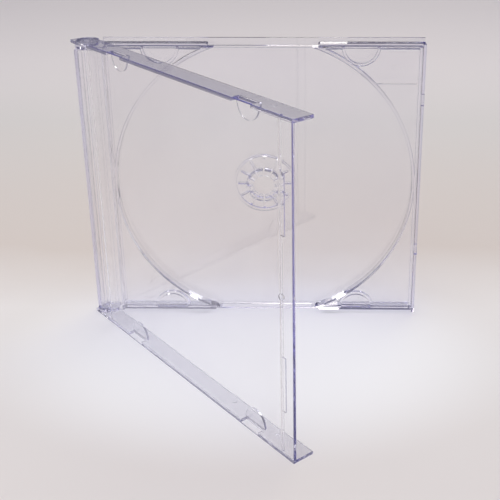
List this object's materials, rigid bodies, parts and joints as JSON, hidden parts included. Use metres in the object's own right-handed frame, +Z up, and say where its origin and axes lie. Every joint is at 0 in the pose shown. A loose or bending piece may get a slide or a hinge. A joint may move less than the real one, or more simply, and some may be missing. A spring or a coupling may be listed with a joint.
{
  "type": "disc jewel case",
  "caption": "Clear hard-plastic jewel case for an optical disc: a back shell, a snap-in tray with a toothed hub, and a lid that swings on pins beside the spine.",
  "frame": {"origin": "on the bottom edge of the back shell's plate, under the disc's centre line, in the middle of the plate's thickness", "axes": "+Z up along the hinge, +X along the width from the hinge side to the free side, -Y out of the open front of the back shell"},
  "size_m": [0.1442, 0.1124, 0.125],
  "materials": {
    "back_shell": "clear moulded polystyrene, polished",
    "disc_tray": "clear moulded polystyrene, polished",
    "front_lid": "clear moulded polystyrene, polished"
  },
  "bodies": {
    "shell": {"base": "back_shell", "tray": "disc_tray"},
    "cover": {"lid": "front_lid"}
  },
  "joints": [
    {"name": "lid_hinge", "type": "hinge", "parent": "shell", "child": "cover", "pos_m": [-0.0713, -0.00445, 0.0625], "axis": [0, 0, -1], "range_deg": [-49.2, 130.8]}
  ]
}
